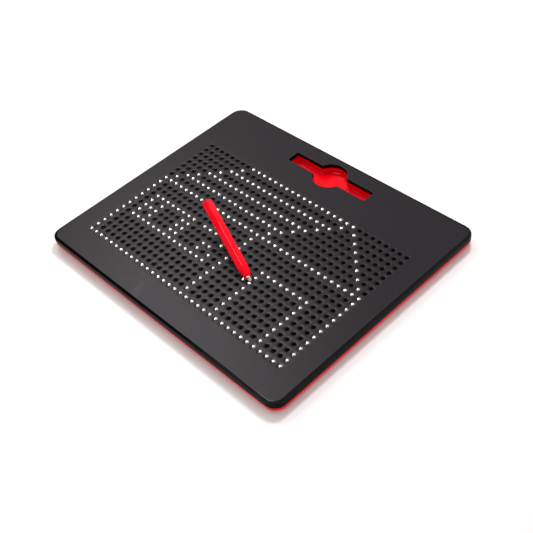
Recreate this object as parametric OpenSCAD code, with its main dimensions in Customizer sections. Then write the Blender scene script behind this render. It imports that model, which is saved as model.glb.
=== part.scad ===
// Magnetic ball drawing board: a flat tablet whose face is a grid of holes, each with a captive
// steel ball that a magnetic stylus lifts into view and a fingertip presses down again.
// +X runs along the long edge, +Y towards the stylus pocket, +Z up out of the drawing face.
// The origin is on the surface the board lies on, below the middle of the board.

/* [Board] */
// Outside length of the long edges
board_w = 318.4; // [318:0.2:324]
// Outside length of the short edges
board_d = 259.2; // [259:0.2:264]
// Outside radius of the four corners
corner_r = 12.5; // [11:0.5:14]
// Height of the drawing face above the surface below
face_h = 14; // [14:0.25:15.5]
// Width of the lowered glossy ledge round the face
ledge_w = 2.5; // [1.5:0.25:3]
// Height of the black side wall
side_h = 5.9; // [5.5:0.1:6.2]
// Height of the red lip that shows below the black side
lip_h = 3.7; // [3.2:0.1:3.9]

/* [Ball grid] */
// Distance between neighbouring holes
pitch = 8; // [7.8:0.1:8]
// Diameter of a steel ball
ball_d = 4.8; // [4.7:0.05:4.8]
// Diameter of a hole where it opens in the face
hole_d = 4.6; // [4.4:0.05:4.6]
// Diameter of a ball's cell below the face
cell_d = 5.3; // [5.2:0.05:5.6]
// How far the middle of the grid lies in front of the middle of the board
grid_shift = 16.5; // [15:0.5:17]

/* [Stylus pocket] */
// Length of the pocket
pocket_w = 102.4; // [100:0.2:108]
// Width of the pocket
pocket_d = 14.2; // [13:0.2:15]
// Radius of the round finger well across the middle of the pocket
finger_r = 17.6; // [14:0.2:17.6]
// Depth of the pocket below the drawing face
pocket_depth = 10.4; // [9:0.1:10.5]

/* [Stylus] */
// Overall length of the stylus
stylus_l = 96; // [80:1:98]
// Width of the barrel across its flats
barrel_af = 10; // [9:0.25:10.5]
// Slope of the stylus above the board, in degrees
stylus_rise = 15.6; // [15.6:0.4:40]
// Compass direction of the tail, in degrees from +X
stylus_bearing = 161; // [140:1:180]

/* [Hidden] */
$fn = 48;
eps = 0.5;

// Levels, from the feet up
foot_drop = 0.5;
foot_t = 1;
floor_t = 1.5;
floor_z = foot_drop + floor_t;
ledge_drop = 0.6;
ledge_z = face_h - ledge_drop;
split_z = ledge_z - side_h;
lip_z = split_z - lip_h;
face_t = 1.4;
face_under_z = face_h - face_t;
sheet_t = 1;
sheet_z = face_under_z - sheet_t;
land_t = 0.3;
land_z = face_h - land_t;

// Walls and outlines, as insets from the outside of the board
lip_inset = 0.3;
belly_inset = 3.6;
wall_t = 2;

// Balls: raised ones stop this far short of the hole's land, and lowered ones above the cell floor
ball_gap = 0.1;
ball_r = ball_d / 2;
ball_up_z = land_z - sqrt(pow(ball_r + ball_gap, 2) - pow(hole_d / 2, 2));
ball_travel = 5;
ball_down_z = ball_up_z - ball_travel;
well_z = ball_down_z - ball_r - ball_gap;

// Grid of balls: columns run along X from the left, rows along Y from the front
cols = 34;
rows = 21;
sheet_margin = 5;
sheet_w = (cols - 1) * pitch + 2 * sheet_margin;
sheet_d = (rows - 1) * pitch + 2 * sheet_margin;
sheet_r = 3;
sheet_hole_d = 5.2;

// Pocket
pocket_y = 104;
pocket_corner_r = 1.6;
pocket_wall_t = 1.4;
pocket_black_h = 4.7;
pocket_z = face_h - pocket_depth;
pocket_wall_z = face_h - pocket_black_h;

// Screws: head, shank and the posts and bosses that they join
screw_places = [
    [-146, -117], [-50, -117], [50, -117], [146, -117],
    [-146, -16], [146, -16],
    [-146, 117], [-80, 104], [80, 104], [146, 117]
];
screw_r = 1.3;
screw_head_r = 2.4;
screw_head_h = 1.6;
screw_head_z = 2.4;
screw_l = 6.6;
screw_clearance = 0.2;
boss_r = 4.5;
post_r = 3;

// Feet
foot_r = 6;
foot_clearance = 0.2;
foot_places = [for (x = [-1, 1], y = [-1, 1]) [x * 128, y * 104]];

// Stylus, in its own frame: tip at the origin and the tail up +Z
stylus_tip_at = [45.7, -47.9, face_h + 2.1];
stylus_roll = -8;
tip_l = 5;
tip_base_r = 2.75;
tip_end_r = 1.2;
taper_l = 10;
barrel_start_r = 3;
ridge_h = 0.6;
barrel_ridge_r = barrel_af / 2 + ridge_h;
bore_r = 2;
tip_shank_l = 4;
magnet_l = 10;
core_r = 3;
tail_cap_t = 1.2;
tail_cap_slope = 0.6;
tail_spigot_l = 6;

// The drawing: runs of raised balls, as [column, row]
function run(from, step, count) = [for (n = [0:count - 1]) from + n * step];
right = [1, 0];
up = [0, 1];
ground_cells = run([0, 0], right, cols);
wall_cells = [for (c = [0, 17, 33]) each run([c, 1], up, 11)];
eave_cells = run([0, 12], right, cols);
ridge_cells = run([8, 20], right, 18);
slope_cells = concat(run([1, 13], [1, 1], 7), run([18, 13], [1, 1], 7), run([32, 13], [-1, 1], 7));
course_cells = [for (r = [14, 16, 18]) each run([r - 11, r], right, 16)];
door_cells = concat(run([22, 1], up, 8), run([29, 1], up, 8), run([23, 8], right, 6));
window_left_cells = concat(
    run([2, 5], right, 7), run([2, 9], right, 7), run([2, 6], up, 3), run([8, 6], up, 3),
    run([4, 6], up, 3), [[3, 7]]
);
window_right_cells = concat(
    run([9, 5], right, 7), run([9, 6], up, 4), run([11, 9], right, 3),
    [[13, 6], [13, 7], [14, 7], [15, 6], [15, 8]]
);
dot_cells = [[21, 6]];
raised_cells = concat(
    ground_cells, wall_cells, eave_cells, ridge_cells, slope_cells, course_cells, door_cells,
    window_left_cells, window_right_cells, dot_cells
);

// Every other cell holds a lowered ball
function is_raised(cell) = len([for (c = raised_cells) if (c == cell) 1]) > 0;
function under_roof(cell) = cell.x > cell.y - 12 && cell.x < 45 - cell.y;
function lowered(c0, c1, r0, r1) = [
    for (c = [c0:c1], r = [r0:r1]) if (!is_raised([c, r])) [c, r]
];
upper_cells = lowered(0, cols - 1, 13, 20);

module rounded_rect(w, d, r) {
    square([w - 2 * r, d], center = true);
    square([w, d - 2 * r], center = true);
    for (x = [-1, 1], y = [-1, 1])
        translate([x * (w / 2 - r), y * (d / 2 - r)])
            circle(r);
}

// A slab with the board's outline, moved in by inset, from z to top
module board_slab(inset, z, top) {
    translate([0, 0, z])
        linear_extrude(top - z)
            rounded_rect(board_w - 2 * inset, board_d - 2 * inset, corner_r - inset);
}

// The pocket's outline with its finger well, moved out by grow, from z to top
module pocket_slab(grow, z, top) {
    translate([0, pocket_y, z])
        linear_extrude(top - z)
            union() {
                rounded_rect(pocket_w + 2 * grow, pocket_d + 2 * grow, pocket_corner_r + grow);
                circle(finger_r + grow);
            }
}

module at_cell(cell) {
    translate([
        (cell.x - (cols - 1) / 2) * pitch,
        (cell.y - (rows - 1) / 2) * pitch - grid_shift
    ])
        children();
}

module at_all_cells() {
    for (c = [0:cols - 1], r = [0:rows - 1])
        at_cell([c, r])
            children();
}

module at_places(places) {
    for (p = places)
        translate([p.x, p.y])
            children();
}

module hole_cutter() {
    rotate_extrude()
        polygon([
            [0, face_under_z - eps], [cell_d / 2, face_under_z - eps], [cell_d / 2, land_z],
            [hole_d / 2, land_z], [hole_d / 2, face_h + eps], [0, face_h + eps]
        ]);
}

// Black moulded face with its side wall, posts for the screws and a wall round the slot
module cover() {
    color("#403b40")
        difference() {
            union() {
                difference() {
                    union() {
                        board_slab(0, split_z, ledge_z);
                        board_slab(ledge_w, ledge_z, face_h);
                    }
                    board_slab(ledge_w, split_z - eps, face_under_z);
                }
                pocket_slab(pocket_wall_t, pocket_wall_z, face_under_z + eps);
                at_places(screw_places)
                    translate([0, 0, split_z])
                        cylinder(r = post_r, h = face_under_z - split_z + eps);
            }
            pocket_slab(0, pocket_wall_z - eps, face_h + eps);
            at_places(screw_places)
                translate([0, 0, split_z - eps])
                    cylinder(r = screw_r, h = face_under_z - split_z);
            at_all_cells()
                hole_cutter();
        }
}

// Red moulded back with the pocket, the screw bosses and the ribs that hold the cell plate
module back_shell() {
    rib_t = 1.5;
    rib_gap = 0.2;
    rib_top = floor_z + 3;
    color("#d8101f")
        difference() {
            union() {
                difference() {
                    union() {
                        board_slab(belly_inset, foot_drop, lip_z + eps);
                        board_slab(lip_inset, lip_z, split_z);
                    }
                    board_slab(belly_inset + wall_t, floor_z, lip_z + wall_t + eps);
                    board_slab(lip_inset + wall_t, lip_z + wall_t, split_z + eps);
                }
                pocket_slab(pocket_wall_t, foot_drop, pocket_wall_z);
                at_places(screw_places)
                    translate([0, 0, foot_drop])
                        cylinder(r = boss_r, h = split_z - foot_drop);
                translate([0, -grid_shift, foot_drop])
                    linear_extrude(rib_top - foot_drop)
                        difference() {
                            rounded_rect(
                                sheet_w + 2 * (rib_gap + rib_t),
                                sheet_d + 2 * (rib_gap + rib_t),
                                sheet_r + rib_gap + rib_t
                            );
                            rounded_rect(
                                sheet_w + 2 * rib_gap, sheet_d + 2 * rib_gap, sheet_r + rib_gap
                            );
                        }
            }
            pocket_slab(0, pocket_z, pocket_wall_z + eps);
            at_places(screw_places) {
                cylinder(r = screw_head_r + screw_clearance, h = screw_head_z + screw_head_h);
                cylinder(r = screw_r + screw_clearance, h = split_z + eps);
            }
            at_places(foot_places)
                cylinder(r = foot_r + foot_clearance, h = foot_t);
        }
}

// Moulded block with a blind well under every hole
module cell_plate() {
    color("#2b2b2e")
        translate([0, -grid_shift, 0])
            difference() {
                translate([0, 0, floor_z])
                    linear_extrude(sheet_z - floor_z)
                        rounded_rect(sheet_w, sheet_d, sheet_r);
                translate([0, grid_shift, well_z])
                    linear_extrude(sheet_z - well_z + eps)
                        at_all_cells()
                            circle(d = cell_d);
            }
}

// Flexible magnetic rubber whose holes hold the raised balls up
module magnet_sheet() {
    color("#4a4340")
        translate([0, 0, sheet_z])
            linear_extrude(sheet_t)
                difference() {
                    translate([0, -grid_shift])
                        rounded_rect(sheet_w, sheet_d, sheet_r);
                    at_all_cells()
                        circle(d = sheet_hole_d);
                }
}

// Pan-head self-tapping screw with a cross recess, head down
module screw() {
    recess_l = 2.6;
    recess_w = 0.7;
    recess_h = 0.9;
    point_h = 1;
    translate([0, 0, screw_head_z])
        difference() {
            union() {
                cylinder(r = screw_head_r, h = screw_head_h);
                translate([0, 0, screw_head_h])
                    cylinder(r = screw_r, h = screw_l - point_h);
                translate([0, 0, screw_head_h + screw_l - point_h])
                    cylinder(r1 = screw_r, r2 = 0.4, h = point_h);
            }
            for (turn = [0, 90])
                rotate(turn)
                    translate([-recess_l / 2, -recess_w / 2, -eps])
                        cube([recess_l, recess_w, recess_h + eps]);
        }
}

module case_screws() {
    color("silver")
        at_places(screw_places)
            screw();
}

module rubber_feet() {
    color("#1c1c1c")
        at_places(foot_places)
            cylinder(r = foot_r, h = foot_t);
}

module balls(cells, height) {
    color("#c9ccd0")
        for (cell = cells)
            at_cell(cell)
                translate([0, 0, height])
                    sphere(r = ball_r);
}

module balls_ground() balls(ground_cells, ball_up_z);
module balls_walls() balls(wall_cells, ball_up_z);
module balls_eave() balls(eave_cells, ball_up_z);
module balls_ridge() balls(ridge_cells, ball_up_z);
module balls_roof_slopes() balls(slope_cells, ball_up_z);
module balls_roof_courses() balls(course_cells, ball_up_z);
module balls_door() balls(door_cells, ball_up_z);
module balls_window_left() balls(window_left_cells, ball_up_z);
module balls_window_right() balls(window_right_cells, ball_up_z);
module ball_dot() balls(dot_cells, ball_up_z);
module balls_down_sky() balls([for (c = upper_cells) if (!under_roof(c)) c], ball_down_z);
module balls_down_roof() balls([for (c = upper_cells) if (under_roof(c)) c], ball_down_z);
module balls_down_left_wall() balls(lowered(1, 16, 1, 11), ball_down_z);
module balls_down_right_wall() balls(lowered(18, 32, 1, 11), ball_down_z);

// Places the stylus over the board, as a hand holds it
module in_stylus_frame() {
    translate(stylus_tip_at)
        rotate([0, 90 - stylus_rise, stylus_bearing])
            rotate(stylus_roll)
                children();
}

module hex_barrel(z, top) {
    translate([0, 0, z])
        cylinder(d = barrel_af / cos(30), h = top - z, $fn = 6);
}

// Six-sided plastic barrel, turned down to a cone at the tip like a sharpened pencil
module stylus_barrel() {
    top = stylus_l - tail_cap_t;
    color("#e8131c")
        in_stylus_frame()
            difference() {
                intersection() {
                    hex_barrel(tip_l, top);
                    rotate_extrude()
                        polygon([
                            [0, tip_l], [barrel_start_r, tip_l], [barrel_ridge_r, tip_l + taper_l],
                            [barrel_ridge_r, top], [0, top]
                        ]);
                }
                translate([0, 0, tip_l - eps])
                    cylinder(r = bore_r, h = tip_shank_l + magnet_l + eps);
                translate([0, 0, tip_l + tip_shank_l + magnet_l])
                    cylinder(r = core_r, h = stylus_l);
            }
}

// Steel nose that carries the magnet's field to the ball
module stylus_tip() {
    color("silver")
        in_stylus_frame()
            rotate_extrude()
                polygon(concat(
                    [for (a = [-90:15:0]) [tip_end_r * cos(a), tip_end_r * (1 + sin(a))]],
                    [
                        [tip_base_r, tip_l - 0.4], [tip_base_r, tip_l], [bore_r, tip_l],
                        [bore_r, tip_l + tip_shank_l], [0, tip_l + tip_shank_l]
                    ]
                ));
}

module stylus_magnet() {
    color("#b8babd")
        in_stylus_frame()
            translate([0, 0, tip_l + tip_shank_l])
                cylinder(r = bore_r, h = magnet_l);
}

// Plug that closes the moulded core of the barrel
module stylus_tail_cap() {
    color("#e8131c")
        in_stylus_frame() {
            intersection() {
                hex_barrel(stylus_l - tail_cap_t, stylus_l);
                translate([0, 0, stylus_l - tail_cap_t])
                    cylinder(r1 = barrel_ridge_r, r2 = barrel_ridge_r - tail_cap_slope, h = tail_cap_t);
            }
            translate([0, 0, stylus_l - tail_cap_t - tail_spigot_l])
                cylinder(r = core_r, h = tail_spigot_l + tail_cap_t / 2);
        }
}

cover();
back_shell();
cell_plate();
magnet_sheet();
case_screws();
rubber_feet();
balls_ground();
balls_walls();
balls_eave();
balls_ridge();
balls_roof_slopes();
balls_roof_courses();
balls_door();
balls_window_left();
balls_window_right();
ball_dot();
balls_down_sky();
balls_down_roof();
balls_down_left_wall();
balls_down_right_wall();
stylus_barrel();
stylus_tip();
stylus_magnet();
stylus_tail_cap();
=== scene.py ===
"""Magnetic ball drawing board: the looks of each piece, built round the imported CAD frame."""

import math

import bmesh
import bpy
import numpy as np
from mathutils import Matrix, Vector


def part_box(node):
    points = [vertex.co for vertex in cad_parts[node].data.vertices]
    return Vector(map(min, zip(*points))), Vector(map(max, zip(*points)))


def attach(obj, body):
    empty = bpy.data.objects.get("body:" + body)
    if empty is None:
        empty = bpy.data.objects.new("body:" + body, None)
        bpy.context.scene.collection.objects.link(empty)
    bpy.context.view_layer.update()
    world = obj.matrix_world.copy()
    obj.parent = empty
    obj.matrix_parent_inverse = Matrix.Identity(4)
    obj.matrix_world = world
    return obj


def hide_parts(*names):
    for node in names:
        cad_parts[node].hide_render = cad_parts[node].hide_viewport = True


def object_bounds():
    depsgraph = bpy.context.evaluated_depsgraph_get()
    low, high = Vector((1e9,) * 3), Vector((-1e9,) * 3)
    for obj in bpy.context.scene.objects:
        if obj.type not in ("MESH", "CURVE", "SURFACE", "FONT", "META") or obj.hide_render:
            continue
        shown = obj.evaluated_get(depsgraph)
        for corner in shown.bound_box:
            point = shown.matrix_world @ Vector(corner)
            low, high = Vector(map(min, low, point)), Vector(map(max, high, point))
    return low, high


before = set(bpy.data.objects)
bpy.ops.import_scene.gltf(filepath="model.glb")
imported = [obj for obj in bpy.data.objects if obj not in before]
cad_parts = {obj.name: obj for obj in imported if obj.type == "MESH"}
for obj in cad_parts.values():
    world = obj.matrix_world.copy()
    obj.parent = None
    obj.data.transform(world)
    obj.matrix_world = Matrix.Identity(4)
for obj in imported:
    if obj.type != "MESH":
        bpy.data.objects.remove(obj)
cad_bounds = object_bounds()

# ---------------------------------------------------------------------------------------------
# View: a long lens off the front right corner, looking 45 degrees down at the face and rolled
# a little, so that the board lies cornerwise across the square frame.

mm = 0.001
view_target = Vector((41.4, -24.3, 14.3)) * mm
view_distance = 831 * mm
view_bearing = math.radians(-37.05)
view_elevation = math.radians(45.1)
view_roll = math.radians(-9.94)
lens_length, film_width = 61.87, 36
sight_limit = 20

towards_viewer = Vector(
    (
        math.cos(view_elevation) * math.cos(view_bearing),
        math.cos(view_elevation) * math.sin(view_bearing),
        math.sin(view_elevation),
    )
)
camera = bpy.data.objects.new("camera", bpy.data.cameras.new("camera"))
camera.data.sensor_width = film_width
camera.data.lens = lens_length
camera.data.clip_end = sight_limit
bpy.context.scene.view_settings.view_transform = "Standard"
view_turn = (-towards_viewer).to_track_quat("-Z", "Y").to_matrix() @ Matrix.Rotation(view_roll, 3, "Z")
view_place = Matrix.Translation(view_target + view_distance * towards_viewer)
camera.matrix_world = view_place @ view_turn.to_4x4()
bpy.context.scene.collection.objects.link(camera)
bpy.context.scene.camera = camera

# ---------------------------------------------------------------------------------------------
# Studio: a white table that runs out of sight under a pale sky. The key softbox at the back throws
# the shadows, one on the left puts a sheen on the face and one overhead a line on the stylus. Only
# mirroring surfaces see the dark surround, which rises behind the viewer and on the left.


class Signal:
    """A shader socket that Python's operators work on: each one adds its Math node."""

    def __init__(self, tree, socket):
        self.tree = tree
        self.socket = socket

    def node(self, kind, settings, sockets, output=0):
        """Adds a node: first its settings, then the values or links of its sockets."""
        made = self.tree.nodes.new(kind)
        for name, value in settings.items():
            setattr(made, name, value)
        for name, value in sockets.items():
            if isinstance(value, Signal):
                self.tree.links.new(value.socket, made.inputs[name])
            else:
                made.inputs[name].default_value = value
        return Signal(self.tree, made.outputs[output])

    def math(self, operation, *values):
        """Adds a Math node on values or signals."""
        return self.node("ShaderNodeMath", {"operation": operation}, dict(enumerate(values)))

    def __add__(self, other):
        return self.math("ADD", self, other)

    def __sub__(self, other):
        return self.math("SUBTRACT", self, other)

    def __rsub__(self, other):
        return self.math("SUBTRACT", other, self)

    def __mul__(self, other):
        return self.math("MULTIPLY", self, other)

    __radd__ = __add__
    __rmul__ = __mul__

    def grain(self, size, detail=3.0, stretch=(1, 1, 1)):
        """Noise from 0 to 1 over the piece's own coordinates, with spots of the given size in mm."""
        stretched = self.node("ShaderNodeMapping", {}, {"Vector": self, "Scale": stretch})
        sockets = {"Vector": stretched, "Scale": 1 / (size * mm), "Detail": detail}
        return self.node("ShaderNodeTexNoise", {}, sockets)

    def above(self, low, high):
        """0 below low, 1 above high, and a smooth rise between."""
        sockets = {"Value": self, "From Min": low, "From Max": high}
        return self.node("ShaderNodeMapRange", {"interpolation_type": "SMOOTHSTEP"}, sockets)

    def tint(self, low, high):
        """A colour that goes from low to high as this goes from 0 to 1."""
        sockets = {0: self, 6: (*low, 1), 7: (*high, 1)}
        return self.node("ShaderNodeMix", {"data_type": "RGBA"}, sockets, output=2)


class Finish:
    """A material with one Principled shader. Constant values go straight on its sockets."""

    def __init__(self, name, **constants):
        self.material = bpy.data.materials.new(name)
        self.material.use_nodes = True
        self.tree = self.material.node_tree
        self.shader = self.tree.nodes["Principled BSDF"]
        for socket, value in constants.items():
            self.shader.inputs[socket.replace("_", " ")].default_value = value
        coordinates = self.tree.nodes.new("ShaderNodeTexCoord")
        self.place = Signal(self.tree, coordinates.outputs["Object"])

    def drive(self, socket, signal):
        """Feeds one of the shader's sockets."""
        self.tree.links.new(signal.socket, self.shader.inputs[socket])

    def emboss(self, height, depth_mm, strength):
        """Bumps the surface by a height from 0 to 1 that stands depth_mm tall."""
        sockets = {"Height": height, "Distance": depth_mm * mm, "Strength": strength}
        self.drive("Normal", height.node("ShaderNodeBump", {}, sockets))


def piece_from(name, mesh, finishes, sharp_degrees=32):
    """Makes an object of a finished mesh, smooth except at edges sharper than the angle."""
    for finish in finishes:
        mesh.materials.append(finish.material)
    mesh.shade_smooth()
    mesh.set_sharp_from_angle(angle=math.radians(sharp_degrees))
    made = bpy.data.objects.new(name, mesh)
    bpy.context.scene.collection.objects.link(made)
    return made


def stage_set(name, corners, faces, finish):
    """A part of the studio, which isn't part of the board."""
    mesh = bpy.data.meshes.new(name)
    mesh.from_pydata(corners, [], faces)
    made = piece_from(name, mesh, [finish])
    return made


table_finish = Finish("white_table", Specular_IOR_Level=0.3)
table_mottle = table_finish.place.grain(60)
table_finish.drive("Base Color", table_mottle.tint((0.86, 0.855, 0.85), (0.9, 0.895, 0.89)))
table_finish.drive("Roughness", 0.3 + 0.1 * table_mottle)
table_half, table_z = 6, cad_bounds[0][2]
table_corners = [
    (sx * table_half, sy * table_half, table_z)
    for sx, sy in ((-1, -1), (1, -1), (1, 1), (-1, 1))
]
stage_set("table", table_corners, [(0, 1, 2, 3)], table_finish)

surround_finish = Finish("dark_surround", Roughness=0.9, Specular_IOR_Level=0.0)
surround_cloth = surround_finish.place.grain(80)
surround_finish.drive("Base Color", surround_cloth.tint((0.11, 0.055, 0.035), (0.15, 0.08, 0.05)))
surround_r, surround_sides = 1.6, 96
surround_low = math.radians(16)
surround_peaks = [
    (view_bearing, math.radians(50), math.radians(30)),
    (math.radians(197), math.radians(52), math.radians(24)),
]


def surround_rise(turn):
    """The surround's elevation as seen from its middle, at a bearing: low all round, plus its peaks."""
    rise = surround_low
    for bearing, height, spread in surround_peaks:
        away = (turn - bearing + math.pi) % (2 * math.pi) - math.pi
        rise += height * math.exp(-((away / spread) ** 2))
    return rise


surround_turns = [2 * math.pi * side / surround_sides for side in range(surround_sides)]
surround_foot, surround_top, surround_walls = [], [], []
for side, turn in enumerate(surround_turns):
    x, y = surround_r * math.cos(turn), surround_r * math.sin(turn)
    surround_foot.append((x, y, table_z))
    surround_top.append((x, y, surround_r * math.tan(surround_rise(turn))))
    after = (side + 1) % surround_sides
    surround_walls.append((side, side + surround_sides, after + surround_sides, after))
surround = stage_set("dark_surround", surround_foot + surround_top, surround_walls, surround_finish)
surround.visible_camera = False
surround.visible_diffuse = False
surround.visible_shadow = False


def softbox(name, at, size, watts, mirrored=True, lights=True):
    """A round softbox aimed at the middle of the board, which surfaces mirror, are lit by, or both."""
    lamp = bpy.data.objects.new(name, bpy.data.lights.new(name, "AREA"))
    lamp.data.shape = "DISK"
    lamp.data.size = size
    lamp.data.energy = watts
    lamp.visible_camera = False
    lamp.visible_glossy = mirrored
    lamp.visible_diffuse = lights
    lamp.matrix_world = Matrix.Translation(at) @ (-at).to_track_quat("-Z", "Y").to_matrix().to_4x4()
    bpy.context.scene.collection.objects.link(lamp)


softbox("key_softbox", at=Vector((-0.2, 0.62, 1.15)), size=0.3, watts=9, mirrored=False)
softbox("sheen_softbox", at=Vector((-0.83, 0.31, 1.06)), size=0.5, watts=3.2)
softbox("ridge_softbox", at=Vector((-0.39, -0.18, 1.33)), size=0.5, watts=16, lights=False)
sky_colour, sky_strength = (1.0, 0.995, 0.99, 1), 0.75
world = bpy.data.worlds.new("studio")
bpy.context.scene.world = world
world.use_nodes = True
sky = world.node_tree.nodes["Background"]
sky.inputs["Color"].default_value = sky_colour
sky.inputs["Strength"].default_value = sky_strength

# ---------------------------------------------------------------------------------------------
# Cover: one black injection moulding. Its face is spark-textured and punched with the grid of
# holes, each in a shallow dish; its ledge and side wall are polished. It screws to the back.

cover_low, cover_high = (np.array(corner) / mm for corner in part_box("cover"))
outside = cover_high[:2] - cover_low[:2]
face_z = cover_high[2]
split_z = cover_low[2]
corner_r = 12.5
face_t = 1.4
face_under_z = face_z - face_t
hole_r, seat_r, hole_sides = 2.3, 2.6, 16
dish_r, dish_depth = 3.3, 0.24
post_r, pilot_r, pilot_h = 3, 1.3, 3.6

eave_low, eave_high = (np.array(corner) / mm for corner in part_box("balls_eave"))
ball_d = eave_high[1] - eave_low[1]
grid_cols, grid_rows = 34, 21
pitch = (eave_high[0] - eave_low[0] - ball_d) / (grid_cols - 1)
ground_low, ground_high = (np.array(corner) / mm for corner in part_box("balls_ground"))
grid_y = (ground_low[1] + ground_high[1]) / 2 + (grid_rows - 1) / 2 * pitch

pocket_y = 104.0
pocket_size = (102.4, 14.2)
pocket_corner_r = 1.6
pocket_wall_t = 1.4
finger_r = 17.6
pocket_floor_z = face_z - 10.4
pocket_join_z = face_z - 4.7


def corner_turns(per_corner):
    """Each quarter's corner signs and the directions of its arc's points, anticlockwise."""
    for quarter, (sx, sy) in enumerate(((1, 1), (-1, 1), (-1, -1), (1, -1))):
        for step in range(per_corner + 1):
            yield sx, sy, math.radians(90 * (quarter + step / per_corner))


def slab_outline(inset, per_corner=10):
    """The board's rounded outline, moved in by inset."""
    half_w, half_d = outside / 2 - inset
    r = corner_r - inset
    return [
        (sx * (half_w - r) + r * math.cos(turn), sy * (half_d - r) + r * math.sin(turn))
        for sx, sy, turn in corner_turns(per_corner)
    ]


def pocket_outline(grow, per_corner=4, per_well=20):
    """The slot's rounded outline with the finger well across its middle, moved out by grow."""
    half_w, half_d = pocket_size[0] / 2 + grow, pocket_size[1] / 2 + grow
    r, well_r = pocket_corner_r + grow, finger_r + grow
    meets = math.asin(half_d / well_r)
    arc = [meets + (math.pi - 2 * meets) * step / per_well for step in range(per_well + 1)]
    ends = [
        (sx * (half_w - r) + r * math.cos(turn), sy * (half_d - r) + r * math.sin(turn))
        for sx, sy, turn in corner_turns(per_corner)
    ]
    quarter = len(ends) // 4
    upper = [(well_r * math.cos(a), well_r * math.sin(a)) for a in arc]
    lower = [(-x, -y) for x, y in upper]
    outline = ends[:quarter] + upper + ends[quarter : 3 * quarter] + lower + ends[3 * quarter :]
    return [(x, y + pocket_y) for x, y in outline]


def disc_outline(radius, at=(0, 0), sides=24):
    """A circle, anticlockwise, as a ring of points."""
    turns = [2 * math.pi * side / sides for side in range(sides)]
    return [(at[0] + radius * math.cos(turn), at[1] + radius * math.sin(turn)) for turn in turns]


class Moulding:
    """Builds one closed piece, in millimetres, from loops, the bands between them and flat fills."""

    def __init__(self):
        self.bm = bmesh.new()

    def loop(self, outline, z):
        """A ring of vertices along an outline at one height."""
        return [self.bm.verts.new((x, y, z)) for x, y in outline]

    def band(self, first, second, finish=0):
        """A strip of faces between two loops of as many points."""
        for here, after in zip(range(len(first)), [*range(1, len(first)), 0]):
            face = self.bm.faces.new((first[here], first[after], second[after], second[here]))
            face.material_index = finish

    def stack(self, outline_at, profile, finish=0):
        """Loops of outline_at(inset) for each (inset, z) of a profile, joined by bands."""
        loops = [self.loop(outline_at(inset), z) for inset, z in profile]
        for first, second in zip(loops, loops[1:]):
            self.band(first, second, finish)
        return loops

    def fill(self, loops, finish=0):
        """A flat face between an outer loop and any holes in it."""
        edges = []
        for loop in loops:
            for first, second in zip(loop, loop[1:] + loop[:1]):
                edges.append(self.bm.edges.get((first, second)) or self.bm.edges.new((first, second)))
        for face in bmesh.ops.triangle_fill(self.bm, edges=edges, use_beauty=True)["geom"]:
            if isinstance(face, bmesh.types.BMFace):
                face.material_index = finish

    def turned(self, profile, at=(0, 0), sides=24, finish=0):
        """A turned shape: its profile is (radius, z) from one pole or end to the other."""
        rings = []
        for radius, z in profile:
            outline = disc_outline(radius, at, sides) if radius else [at]
            rings.append(self.loop(outline, z))
        for first, second in zip(rings, rings[1:]):
            if len(first) == len(second):
                self.band(first, second, finish)
                continue
            pole, ring = (first[0], second) if len(first) == 1 else (second[0], first)
            for here, after in zip(ring, ring[1:] + ring[:1]):
                self.bm.faces.new((here, after, pole)).material_index = finish
        return rings

    def mesh(self, name, place=None):
        """Closes the seams, turns every face outwards and gives the mesh in metres."""
        seam_gap = 1e-4
        to_metres = Matrix.Scale(mm, 4) @ (place or Matrix())
        bmesh.ops.remove_doubles(self.bm, verts=self.bm.verts, dist=seam_gap)
        bmesh.ops.recalc_face_normals(self.bm, faces=self.bm.faces)
        bmesh.ops.transform(self.bm, matrix=to_metres, verts=self.bm.verts)
        made = bpy.data.meshes.new(name)
        self.bm.to_mesh(made)
        self.bm.free()
        return made


def repeat_tree(name, finish, on_grid):
    """A geometry tree that puts a unit on each point, or on each crossing of a grid."""
    tree = bpy.data.node_groups.new(name, "GeometryNodeTree")
    face = tree.interface
    face.new_socket("Geometry", in_out="OUTPUT", socket_type="NodeSocketGeometry")
    face.new_socket("Points", in_out="INPUT", socket_type="NodeSocketGeometry")
    face.new_socket("Unit", in_out="INPUT", socket_type="NodeSocketObject")
    if on_grid:
        for size in ("Columns", "Rows"):
            face.new_socket(size, in_out="INPUT", socket_type="NodeSocketInt")
        for size in ("Width", "Depth"):
            face.new_socket(size, in_out="INPUT", socket_type="NodeSocketFloat")
    given = tree.nodes.new("NodeGroupInput").outputs
    points = given["Points"]
    if on_grid:
        grid = tree.nodes.new("GeometryNodeMeshGrid")
        takes = {"Columns": "Vertices X", "Rows": "Vertices Y", "Width": "Size X", "Depth": "Size Y"}
        for size, socket in takes.items():
            tree.links.new(given[size], grid.inputs[socket])
        points = grid.outputs["Mesh"]
    unit = tree.nodes.new("GeometryNodeObjectInfo")
    tree.links.new(given["Unit"], unit.inputs["Object"])
    place = tree.nodes.new("GeometryNodeInstanceOnPoints")
    tree.links.new(points, place.inputs["Points"])
    tree.links.new(unit.outputs["Geometry"], place.inputs["Instance"])
    real = tree.nodes.new("GeometryNodeRealizeInstances")
    tree.links.new(place.outputs["Instances"], real.inputs["Geometry"])
    coat = tree.nodes.new("GeometryNodeSetMaterial")
    coat.inputs["Material"].default_value = finish.material
    tree.links.new(real.outputs["Geometry"], coat.inputs["Geometry"])
    tree.links.new(coat.outputs["Geometry"], tree.nodes.new("NodeGroupOutput").inputs["Geometry"])
    return tree


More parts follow.
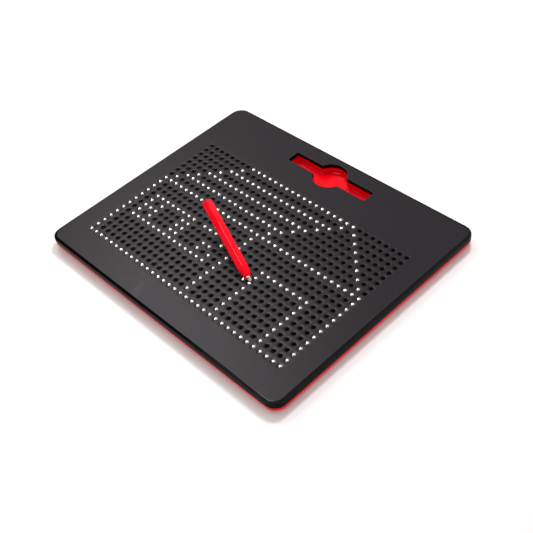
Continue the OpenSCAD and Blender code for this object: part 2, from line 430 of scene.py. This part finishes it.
def repeated(tree, unit_mesh, points=(), **sizes):
    """Runs a repeat tree, on points or on a grid of the given sizes, and gives its plain mesh."""
    unit = bpy.data.objects.new("unit", unit_mesh)
    seeds = bpy.data.meshes.new("seeds")
    seeds.from_pydata([tuple(point) for point in points], [], [])
    holder = bpy.data.objects.new("holder", seeds)
    bpy.context.scene.collection.objects.link(holder)
    modifier = holder.modifiers.new("repeat", "NODES")
    modifier.node_group = tree
    values = {"Unit": unit, **sizes}
    for item in tree.interface.items_tree:
        if item.in_out == "INPUT" and item.name in values:
            modifier[item.identifier] = values[item.name]
    depsgraph = bpy.context.evaluated_depsgraph_get()
    made = bpy.data.meshes.new_from_object(holder.evaluated_get(depsgraph), depsgraph=depsgraph)
    bpy.data.objects.remove(holder)
    bpy.data.objects.remove(unit)
    bpy.data.meshes.remove(seeds)
    return made


def textured_black():
    """Spark-textured black: a fine even grain, a faint mottle and a few shinier rub marks."""
    finish = Finish("textured_black_plastic", Specular_IOR_Level=0.22)
    grain = finish.place.grain(0.35, detail=2)
    mottle = finish.place.grain(26)
    rubs = finish.place.grain(9, detail=6, stretch=(1, 0.25, 1)).above(0.6, 0.74)
    finish.drive("Base Color", mottle.tint((0.0085, 0.0054, 0.0083), (0.0115, 0.0078, 0.0112)))
    finish.drive("Roughness", 0.33 + 0.06 * mottle - 0.06 * rubs)
    finish.emboss(grain + 0.3 * mottle, 0.035, 0.35)
    return finish


def polished_black(name, specular):
    """Mould-polished black, with faint smears."""
    finish = Finish(name, Specular_IOR_Level=specular)
    smear = finish.place.grain(14, detail=5, stretch=(1, 1, 3))
    finish.drive("Base Color", smear.tint((0.0016, 0.0011, 0.0013), (0.0028, 0.0020, 0.0023)))
    finish.drive("Roughness", 0.1 + 0.12 * smear.above(0.4, 0.8))
    finish.emboss(finish.place.grain(3), 0.012, 0.2)
    return finish


def hole_cell():
    """One pitch square of the face: its hole, the dish round it and the seat below."""
    cell = Moulding()
    half = pitch / 2
    circle = disc_outline(half, sides=hole_sides)
    stretch = [half / max(abs(x), abs(y)) for x, y in circle]
    square = [(x * share, y * share) for (x, y), share in zip(circle, stretch)]
    loops = [cell.loop(square, face_z)]
    for radius, z in ((dish_r, face_z), (hole_r, face_z - dish_depth), (seat_r, face_under_z)):
        loops.append(cell.loop(disc_outline(radius, sides=hole_sides), z))
    loops.append(cell.loop(square, face_under_z))
    for first, second in zip(loops, loops[1:]):
        cell.band(second, first)
    return cell.mesh("hole_cell")


def cover_mesh(screw_places, matte):
    """Rim, margins, pocket wall and screw posts, joined to the sheet of hole cells.

    A profile is a list of (distance in from the outside, height); the pocket's lie outwards from its wall.
    """
    tree = repeat_tree("punched_face", matte, on_grid=True)
    width, depth = (grid_cols - 1) * pitch * mm, (grid_rows - 1) * pitch * mm
    sheet = repeated(tree, hole_cell(), Columns=grid_cols, Rows=grid_rows, Width=width, Depth=depth)
    sheet.transform(Matrix.Translation((0, grid_y * mm, 0)))
    sheet.transform(Matrix.Scale(1 / mm, 4))
    body = Moulding()
    body.bm.from_mesh(sheet)
    for face in body.bm.faces:
        face.material_index = 0
    bpy.data.meshes.remove(sheet)
    cell_gap = 1e-3
    bmesh.ops.remove_doubles(body.bm, verts=body.bm.verts, dist=cell_gap)

    def sheet_edge(z):
        """The sheet's open edge at one level, in order round the grid."""
        half_w, half_d = grid_cols * pitch / 2, grid_rows * pitch / 2
        level = [v for v in body.bm.verts if abs(v.co.z - z) < cell_gap]
        rim = [v for v in level if not all(edge.is_manifold for edge in v.link_edges)]
        on_side = 0.9999

        def along(v):
            """How far round the grid a vertex lies, counted in sides."""
            x, y = v.co.x / half_w, (v.co.y - grid_y) / half_d
            side = [x > on_side, y > on_side, x < -on_side, y < -on_side].index(True)
            return side + ((y, -x, -y, x)[side] + 1) / 2

        return sorted(rim, key=along)

    top_edge, under_edge = sheet_edge(face_z), sheet_edge(face_under_z)
    rim = [(3.1, face_z), (2.62, face_z), (2.5, face_z - 0.06), (2.44, face_z - 0.36), (2.3, face_z - 0.42)]
    ledge = [(0.7, face_z - 0.98), (0.32, face_z - 1.14), (0.09, face_z - 1.38), (0, face_z - 1.75)]
    side = [(0, split_z + 0.15), (0.12, split_z), (2.3, split_z), (2.5, split_z + 0.2), (2.5, face_under_z)]
    rim_loops = body.stack(slab_outline, rim + ledge, finish=1)
    side_loops = body.stack(slab_outline, [ledge[-1], *side], finish=2)
    lip = [(0.8, face_z), (0.35, face_z), (0.1, face_z - 0.1), (0, face_z - 0.35)]
    wall = [(0, pocket_join_z), (pocket_wall_t, pocket_join_z), (pocket_wall_t, face_under_z)]
    lip_loops = body.stack(pocket_outline, lip)
    wall_loops = body.stack(pocket_outline, [lip[-1], *wall], finish=2)
    body.fill([rim_loops[0], top_edge, lip_loops[0]])
    body.fill([side_loops[-1], under_edge, wall_loops[-1]])
    post_root_z, pilot_top_z = face_under_z + 0.1, split_z + pilot_h
    post = [(0, post_root_z), (post_r, post_root_z), (post_r, split_z)]
    pilot = [(pilot_r, split_z), (pilot_r, pilot_top_z), (0, pilot_top_z)]
    for place in screw_places:
        body.turned(post + pilot, place, sides=20, finish=2)
    return body.mesh("cover")


def solids_in(node, reach):
    """The middle, in mm, of each solid of a CAD node whose solids lie further apart than reach."""
    points = np.array([v.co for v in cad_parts[node].data.vertices]) / mm
    middles = []
    while len(points):
        near = np.hypot(*(points[:, :2] - points[0, :2]).T) < reach
        middles.append((points[near].min(0) + points[near].max(0)) / 2)
        points = points[~near]
    return middles


screw_middles = solids_in("case_screws", reach=10)
screw_places = [(x, y) for x, y, z in screw_middles]
face_black = textured_black()
ledge_black = polished_black("polished_black_ledge", 0.2)
# The side wall, the pocket wall and the screw posts share a copy of the ledge's polished black whose
# reflection is turned almost off. This is painted shade: it keeps the bright table out of what the side
# wall mirrors, as if the table beside the board lay in shade.
shaded_side_black = polished_black("polished_black_side_painted_shade", 0.05)
cover_finishes = [face_black, ledge_black, shaded_side_black]
cover = piece_from("black_cover", cover_mesh(screw_places, face_black), cover_finishes)
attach(cover, "board")
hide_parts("cover")

# ---------------------------------------------------------------------------------------------
# Back shell: one red gloss moulding that closes the board from below. Its lip shows under the
# black side, its pocket under the slot; ribs inside hold the cell plate and bosses the screws.

base_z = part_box("back_shell")[0][2] / mm
floor_z = base_z + 1.5
lip_z = split_z - 3.7
rib_margin, rib_corner_r, rib_h = 5, 3, 3
boss_r, shank_r, head_well_r, head_well_h = 4.5, 1.5, 2.7, 3.5
foot_recess_r, foot_recess_h = 6.2, 0.5
foot_middles = solids_in("rubber_feet", reach=20)
foot_places = [(x, y) for x, y, z in foot_middles]


def gloss_red(name, deep, bright, rough, specular):
    """Mould-polished red plastic with a slight orange peel and faint smears."""
    finish = Finish(name, Specular_IOR_Level=specular, Specular_Tint=(1.0, 0.3, 0.38, 1.0))
    mottle = finish.place.grain(18)
    smear = finish.place.grain(7, detail=6).above(0.5, 0.75)
    finish.drive("Base Color", mottle.tint(deep, bright))
    finish.drive("Roughness", rough + 0.12 * smear)
    finish.emboss(finish.place.grain(1.6, detail=2), 0.02, 0.25)
    return finish


def shell_mesh():
    """Lip, belly, floor, walls, pocket, rib frame and screw bosses as one closed moulding."""
    shell = Moulding()
    lip = [(0.5, split_z), (0.3, split_z - 0.2), (0.3, lip_z + 0.7)]
    lip += [(0.45, lip_z + 0.28), (0.85, lip_z + 0.05)]
    step = [(1.3, lip_z), (3.1, lip_z - 0.05), (3.5, lip_z - 0.3), (3.65, lip_z - 0.8)]
    belly = [(3.8, base_z + 1.1), (4.05, base_z + 0.5), (4.5, base_z + 0.12), (5.1, base_z)]
    outer = shell.stack(slab_outline, lip + step + belly)
    inner = shell.stack(slab_outline, [(2.3, split_z), (2.3, lip_z + 2), (5.6, lip_z + 2), (5.6, floor_z)])
    shell.band(outer[0], inner[0])

    def rib_outline(grow):
        """The rounded outline of the rib frame round the grid, moved out by grow."""
        half_w = (grid_cols - 1) / 2 * pitch + rib_margin + grow
        half_d = (grid_rows - 1) / 2 * pitch + rib_margin + grow
        r = rib_corner_r + grow
        return [
            (sx * (half_w - r) + r * math.cos(turn), grid_y + sy * (half_d - r) + r * math.sin(turn))
            for sx, sy, turn in corner_turns(4)
        ]

    rib_top_z = floor_z + rib_h
    rib = shell.stack(rib_outline, [(1.7, floor_z), (1.7, rib_top_z), (0.2, rib_top_z), (0.2, floor_z)])
    wall = [(pocket_wall_t, floor_z), (pocket_wall_t, pocket_join_z), (0, pocket_join_z)]
    corner = [(0, pocket_floor_z + 0.8), (-0.23, pocket_floor_z + 0.23), (-0.8, pocket_floor_z)]
    pocket = shell.stack(pocket_outline, wall + corner)
    shell.fill([pocket[-1]])
    bosses, recesses = [], []
    seat_z = base_z + head_well_h
    boss = [(boss_r, floor_z), (boss_r, split_z), (shank_r, split_z), (shank_r, seat_z)]
    head_well = [(head_well_r, seat_z), (head_well_r, base_z + 0.2), (head_well_r + 0.2, base_z)]
    for place in screw_places:
        rings = shell.turned(boss + head_well, place)
        bosses.append(rings[0])
        recesses.append(rings[-1])
    recess_z = base_z + foot_recess_h
    recess = [(0, recess_z), (foot_recess_r, recess_z)]
    recess += [(foot_recess_r, base_z + 0.1), (foot_recess_r + 0.1, base_z)]
    for place in foot_places:
        rings = shell.turned(recess, place, sides=40)
        recesses.append(rings[-1])
    shell.fill([inner[-1], rib[0], pocket[0], *bosses])
    shell.fill([rib[-1]])
    shell.fill([outer[-1], *recesses])
    return shell.mesh("back_shell")


shell_deep, shell_bright = (0.72, 0.0006, 0.006), (0.82, 0.0012, 0.010)
shell_red = gloss_red("gloss_red_plastic", shell_deep, shell_bright, rough=0.16, specular=0.2)
back_shell = piece_from("red_back_shell", shell_mesh(), [shell_red])
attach(back_shell, "board")
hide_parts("back_shell")

# ---------------------------------------------------------------------------------------------
# Cell plate: a black moulded block that lies on the shell's floor inside its rib frame, with
# a blind well under every hole so that each ball keeps to its own place.

well_black = Finish("matt_black_moulding", Specular_IOR_Level=0.3)
well_mottle = well_black.place.grain(12)
well_black.drive("Base Color", well_mottle.tint((0.006, 0.006, 0.007), (0.010, 0.010, 0.011)))
well_black.drive("Roughness", 0.55 + 0.15 * well_mottle)
well_black.emboss(well_black.place.grain(0.6, detail=2), 0.02, 0.3)


def refinish(node, finish):
    """Gives a CAD node that stays on show its own finish."""
    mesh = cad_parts[node].data
    mesh.materials.clear()
    mesh.materials.append(finish.material)


refinish("cell_plate", well_black)

# ---------------------------------------------------------------------------------------------
# Magnetic sheet: ferrite-filled rubber, punched to the same grid and clamped between the face
# and the cell plate. Its pull holds each raised ball up against its hole.

ferrite = Finish("ferrite_rubber", Specular_IOR_Level=0.3)
ferrite_specks = ferrite.place.grain(1.2, detail=5)
ferrite.drive("Base Color", ferrite_specks.tint((0.012, 0.010, 0.009), (0.022, 0.018, 0.016)))
ferrite.drive("Roughness", 0.6 + 0.2 * ferrite_specks)
ferrite.emboss(ferrite_specks, 0.03, 0.4)
refinish("magnet_sheet", ferrite)

# ---------------------------------------------------------------------------------------------
# Balls: polished bearing steel, one loose in every cell. Raised ones stand proud of the face and
# lowered ones lie dark in their wells. Each stroke of the drawing moves as a group, and so do the
# lowered balls of each area.

ball_steel = Finish("polished_ball_steel", Metallic=1.0)
ball_bloom = ball_steel.place.grain(5, detail=2)
ball_steel.drive("Base Color", ball_bloom.tint((0.88, 0.87, 0.85), (0.95, 0.94, 0.93)))
ball_steel.drive("Roughness", 0.08 + 0.06 * ball_bloom)
ball_steel.emboss(ball_steel.place.grain(0.9), 0.002, 0.1)


def ball_mesh():
    """A ball with its facets packed into the half that shows above the hole."""
    ball = Moulding()
    ball_r = ball_d / 2
    tilts = [math.radians(degrees) for degrees in (20, 40, 62, 90, 135)]
    rings = [(ball_r * math.sin(tilt), ball_r * math.cos(tilt)) for tilt in tilts]
    ball.turned([(0, ball_r), *rings, (0, -ball_r)], sides=12)
    return ball.mesh("ball")


def ball_places(node):
    """The middle of each ball of a node, in metres: the crossings of the pitch that it fills."""
    low, high = (np.array(corner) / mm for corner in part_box(node))
    points = np.array([v.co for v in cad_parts[node].data.vertices])[:, :2] / mm
    cells = np.unique(np.floor((points - low[:2] + (pitch - ball_d) / 2) / pitch).astype(int), axis=0)
    centres = low[:2] + ball_d / 2 + cells * pitch
    return [(x * mm, y * mm, (low[2] + high[2]) / 2 * mm) for x, y in centres]


ball_tree = repeat_tree("balls_on_points", ball_steel, on_grid=False)
unit_ball = ball_mesh()
for group in [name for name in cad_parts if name.startswith("ball")]:
    balls = piece_from("steel_" + group, repeated(ball_tree, unit_ball, ball_places(group)), [])
    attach(balls, group)
    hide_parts(group)

# ---------------------------------------------------------------------------------------------
# Case screws: zinc-plated pan-head self-tappers with a cross recess, driven up through the
# back shell's bosses into the cover's posts.

screw_zinc = Finish("zinc_plate", Metallic=1.0)
zinc_bloom = screw_zinc.place.grain(1.1, detail=4)
screw_zinc.drive("Base Color", zinc_bloom.tint((0.50, 0.50, 0.49), (0.66, 0.66, 0.67)))
screw_zinc.drive("Roughness", 0.25 + 0.2 * zinc_bloom)
screw_zinc.emboss(screw_zinc.place.grain(0.3), 0.01, 0.3)


def screw_mesh():
    """Head down: a domed head with a cross recess, and a ridged thread up to the point."""
    low_z, high_z = (corner[2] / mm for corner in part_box("case_screws"))
    middle_z = (low_z + high_z) / 2
    head_r, thread_r, root_r = 2.4, 1.3, 1.02
    seat_z, point_l, ridges = low_z + 1.6, 1, 6
    arm_l, arm_half_w, recess_taper = 1.3, 0.35, 0.7
    screw = Moulding()
    cross = []
    for quarter in range(4):
        turn = Matrix.Rotation(math.radians(90 * quarter), 2)
        arm = ((arm_l, -arm_half_w), (arm_l, arm_half_w), (arm_half_w, arm_half_w))
        cross += [tuple(turn @ Vector(corner)) for corner in arm]
    floor = screw.loop([(recess_taper * x, recess_taper * y) for x, y in cross], low_z + 1)
    mouth = screw.loop(cross, low_z + 0.02)
    screw.fill([floor])
    screw.band(floor, mouth)
    dome = [(1.75, low_z + 0.05), (2.15, low_z + 0.3), (head_r, low_z + 0.75), (head_r, seat_z)]
    thread = [(thread_r, seat_z)]
    lead = (high_z - point_l - seat_z) / ridges
    for ridge in range(ridges):
        foot_z = seat_z + ridge * lead
        thread.append((root_r, foot_z + 0.25 * lead))
        thread.append((thread_r, foot_z + 0.6 * lead))
        thread.append((root_r, foot_z + 0.95 * lead))
    point = [(0.9, high_z - 0.9), (0.4, high_z), (0, high_z)]
    rings = screw.turned(dome + thread + point, sides=20)
    screw.fill([rings[0], mouth])
    return screw.mesh("screw", Matrix.Translation((0, 0, -middle_z)))


screw_tree = repeat_tree("screws_on_points", screw_zinc, on_grid=False)
screw_points = [tuple(middle * mm) for middle in screw_middles]
screws = piece_from("case_screw_set", repeated(screw_tree, screw_mesh(), screw_points), [])
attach(screws, "board")
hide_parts("case_screws")

# ---------------------------------------------------------------------------------------------
# Feet: four discs die-cut from rubber sheet, with softened lower edges. Each is stuck in a shallow
# recess near a corner of the back and stands half a millimetre proud of it.

foot_rubber = Finish("foot_rubber", Specular_IOR_Level=0.3)
foot_dust = foot_rubber.place.grain(3, detail=5)
foot_greys = (0.014, 0.014, 0.014), (0.045, 0.042, 0.040)
foot_rubber.drive("Base Color", foot_dust.above(0.45, 0.8).tint(*foot_greys))
foot_rubber.drive("Roughness", 0.7 + 0.15 * foot_dust)
foot_rubber.emboss(foot_rubber.place.grain(0.5), 0.04, 0.5)


def foot_mesh():
    """A disc, softened round its lower edge."""
    foot = Moulding()
    foot_r = 6
    low_z, high_z = (corner[2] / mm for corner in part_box("rubber_feet"))
    half_t = (high_z - low_z) / 2
    under = [(0, -half_t), (5.4, -half_t), (5.8, -half_t + 0.08), (foot_r, -half_t + 0.3)]
    foot.turned([*under, (foot_r, half_t), (0, half_t)], sides=36)
    return foot.mesh("foot")


foot_tree = repeat_tree("feet_on_points", foot_rubber, on_grid=False)
foot_points = [tuple(middle * mm) for middle in foot_middles]
feet = piece_from("rubber_foot_set", repeated(foot_tree, foot_mesh(), foot_points), [])
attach(feet, "board")
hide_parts("rubber_feet")

# ---------------------------------------------------------------------------------------------
# Stylus barrel: a hollow six-sided red moulding with soft ridges, turned down to a cone at the
# tip, which leaves a scallop at the end of each flat. It carries the steel nose and the magnet.

stylus_l = 96.0
tip_l = 5.0
tail_cap_t = 1.2
barrel_flat = 5.0
ridge_round = 1.2
barrel_end_z = stylus_l - tail_cap_t
end_inset = 0.12
core_r, bore_r, bore_l = 3, 2, 14
stylus_tip_at = Vector((45.7, -47.9, face_z + 2.1))
stylus_rise = math.radians(15.6)
stylus_bearing = math.radians(161)
stylus_roll = math.radians(-8)
in_hand = (
    Matrix.Translation(stylus_tip_at)
    @ Matrix.Rotation(stylus_bearing, 4, "Z")
    @ Matrix.Rotation(math.pi / 2 - stylus_rise, 4, "Y")
    @ Matrix.Rotation(stylus_roll, 4, "Z")
)


def barrel_outline(inset, per_ridge=8):
    """The six-sided section with rounded ridges, moved in by inset."""
    centre_r = (barrel_flat - ridge_round) / math.cos(math.radians(30))
    half_flat = centre_r * math.sin(math.radians(30))
    outline = []
    for ridge in range(6):
        middle = math.radians(60 * ridge)
        for step in range(per_ridge + 1):
            turn = math.radians(60 * ridge - 30 + 60 * step / per_ridge)
            x = centre_r * math.cos(middle) + (ridge_round - inset) * math.cos(turn)
            y = centre_r * math.sin(middle) + (ridge_round - inset) * math.sin(turn)
            outline.append((x, y))
        flat = math.radians(60 * ridge + 30)
        for along in (-0.5, 0, 0.5):
            x = (barrel_flat - inset) * math.cos(flat) - along * half_flat * math.sin(flat)
            y = (barrel_flat - inset) * math.sin(flat) + along * half_flat * math.cos(flat)
            outline.append((x, y))
    return outline


def held_within(outline, cone_r):
    """An outline turned down to a cone's radius, with a slightly blunt edge where the two meet."""
    bluntness = 40
    held = []
    for x, y in outline:
        radius = math.hypot(x, y)
        blunt = (radius**-bluntness + cone_r**-bluntness) ** (-1 / bluntness)
        held.append((x * blunt / radius, y * blunt / radius))
    return held


def round_like(outline, radius):
    """A circle whose points lie in the same directions as an outline's."""
    return [(x * radius / math.hypot(x, y), y * radius / math.hypot(x, y)) for x, y in outline]


def barrel_mesh():
    """Outside from the nose to the tail, then back through the wide core and the magnet's bore."""
    barrel = Moulding()
    cone_r, cone_slope = 3, 0.25
    section = barrel_outline(0)
    cone_levels = [tip_l + 0.15 + 0.55 * step for step in range(26)]
    loops = [barrel.loop(round_like(section, 2.86), tip_l)]
    for z in [*cone_levels, 30, 60, barrel_end_z - 0.15]:
        loops.append(barrel.loop(held_within(section, cone_r + cone_slope * (z - tip_l)), z))
    loops.append(barrel.loop(barrel_outline(end_inset), barrel_end_z))
    shoulder_z = tip_l + bore_l
    for radius, z in ((core_r, barrel_end_z), (core_r, shoulder_z), (bore_r, shoulder_z), (bore_r, tip_l)):
        loops.append(barrel.loop(round_like(section, radius), z))
    for first, second in zip(loops, loops[1:] + loops[:1]):
        barrel.band(first, second)
    return barrel.mesh("stylus_barrel", in_hand)


stylus_deep, stylus_bright = (0.86, 0.0006, 0.008), (0.95, 0.0012, 0.016)
stylus_red = gloss_red("stylus_red_plastic", stylus_deep, stylus_bright, rough=0.14, specular=0.3)
barrel = piece_from("red_stylus_barrel", barrel_mesh(), [stylus_red], sharp_degrees=40)
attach(barrel, "stylus")
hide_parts("stylus_barrel")

# ---------------------------------------------------------------------------------------------
# Tail cap: the plug that closes the barrel's moulded core, in the same red, pressed in until
# its rounded edge stands a millimetre beyond the barrel.


def tail_cap_mesh():
    """The rounded end, of the barrel's own section, and the spigot that fits its core."""
    cap = Moulding()
    spigot_l = 6
    section = barrel_outline(0)
    loops = [cap.loop(barrel_outline(end_inset), barrel_end_z)]
    for share, rise in ((1, 0.12), (0.985, 0.4), (0.93, 0.72), (0.83, 1), (0.68, tail_cap_t)):
        loops.append(cap.loop([(x * share, y * share) for x, y in section], barrel_end_z + rise))
    for first, second in zip(loops, loops[1:]):
        cap.band(first, second)
    cap.fill([loops[-1]])
    spigot = [cap.loop(round_like(section, core_r), z) for z in (barrel_end_z, barrel_end_z - spigot_l)]
    cap.band(loops[0], spigot[0])
    cap.band(spigot[0], spigot[1])
    cap.fill([spigot[1]])
    return cap.mesh("tail_cap", in_hand)


tail_cap = piece_from("red_tail_cap", tail_cap_mesh(), [stylus_red], sharp_degrees=40)
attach(tail_cap, "stylus")
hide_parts("stylus_tail_cap")

# ---------------------------------------------------------------------------------------------
# Stylus tip: a turned steel nose with a rounded end, pressed into the barrel against the
# magnet, whose pull it carries to one ball at a time.

nose_steel = Finish("turned_nose_steel", Metallic=1.0)
nose_marks = nose_steel.place.grain(0.8, detail=5)
nose_steel.drive("Base Color", nose_marks.tint((0.70, 0.68, 0.65), (0.82, 0.80, 0.78)))
nose_steel.drive("Roughness", 0.16 + 0.14 * nose_marks)
nose_steel.emboss(nose_marks, 0.006, 0.3)


def tip_mesh():
    """The round end, a straight cone to the shoulder, and the spigot that fits the barrel's bore."""
    tip = Moulding()
    end_r, shoulder_r, spigot_l = 1.2, 2.75, 4
    tilts = [math.radians(degrees) for degrees in (22, 44, 66, 82)]
    nose = [(end_r * math.sin(tilt), end_r * (1 - math.cos(tilt))) for tilt in tilts]
    shoulder = [(2.62, 4.3), (2.73, 4.5), (shoulder_r, 4.7), (shoulder_r, tip_l - 0.05), (2.6, tip_l)]
    spigot = [(bore_r, tip_l), (bore_r, tip_l + spigot_l), (0, tip_l + spigot_l)]
    tip.turned([(0, 0), *nose, *shoulder, *spigot], sides=40)
    return tip.mesh("stylus_tip", in_hand)


tip = piece_from("steel_stylus_tip", tip_mesh(), [nose_steel], sharp_degrees=35)
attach(tip, "stylus")
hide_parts("stylus_tip")

# ---------------------------------------------------------------------------------------------
# Stylus magnet: a nickel-plated rod of sintered magnet, dropped into the bore from the open tail
# before the cap goes in. It lies hidden behind the steel nose.

nickel = Finish("nickel_plate", Metallic=1.0)
nickel_bloom = nickel.place.grain(2)
nickel.drive("Base Color", nickel_bloom.tint((0.60, 0.57, 0.52), (0.68, 0.65, 0.60)))
nickel.drive("Roughness", 0.15 + 0.1 * nickel_bloom)
nickel.emboss(nickel_bloom, 0.004, 0.2)
refinish("stylus_magnet", nickel)
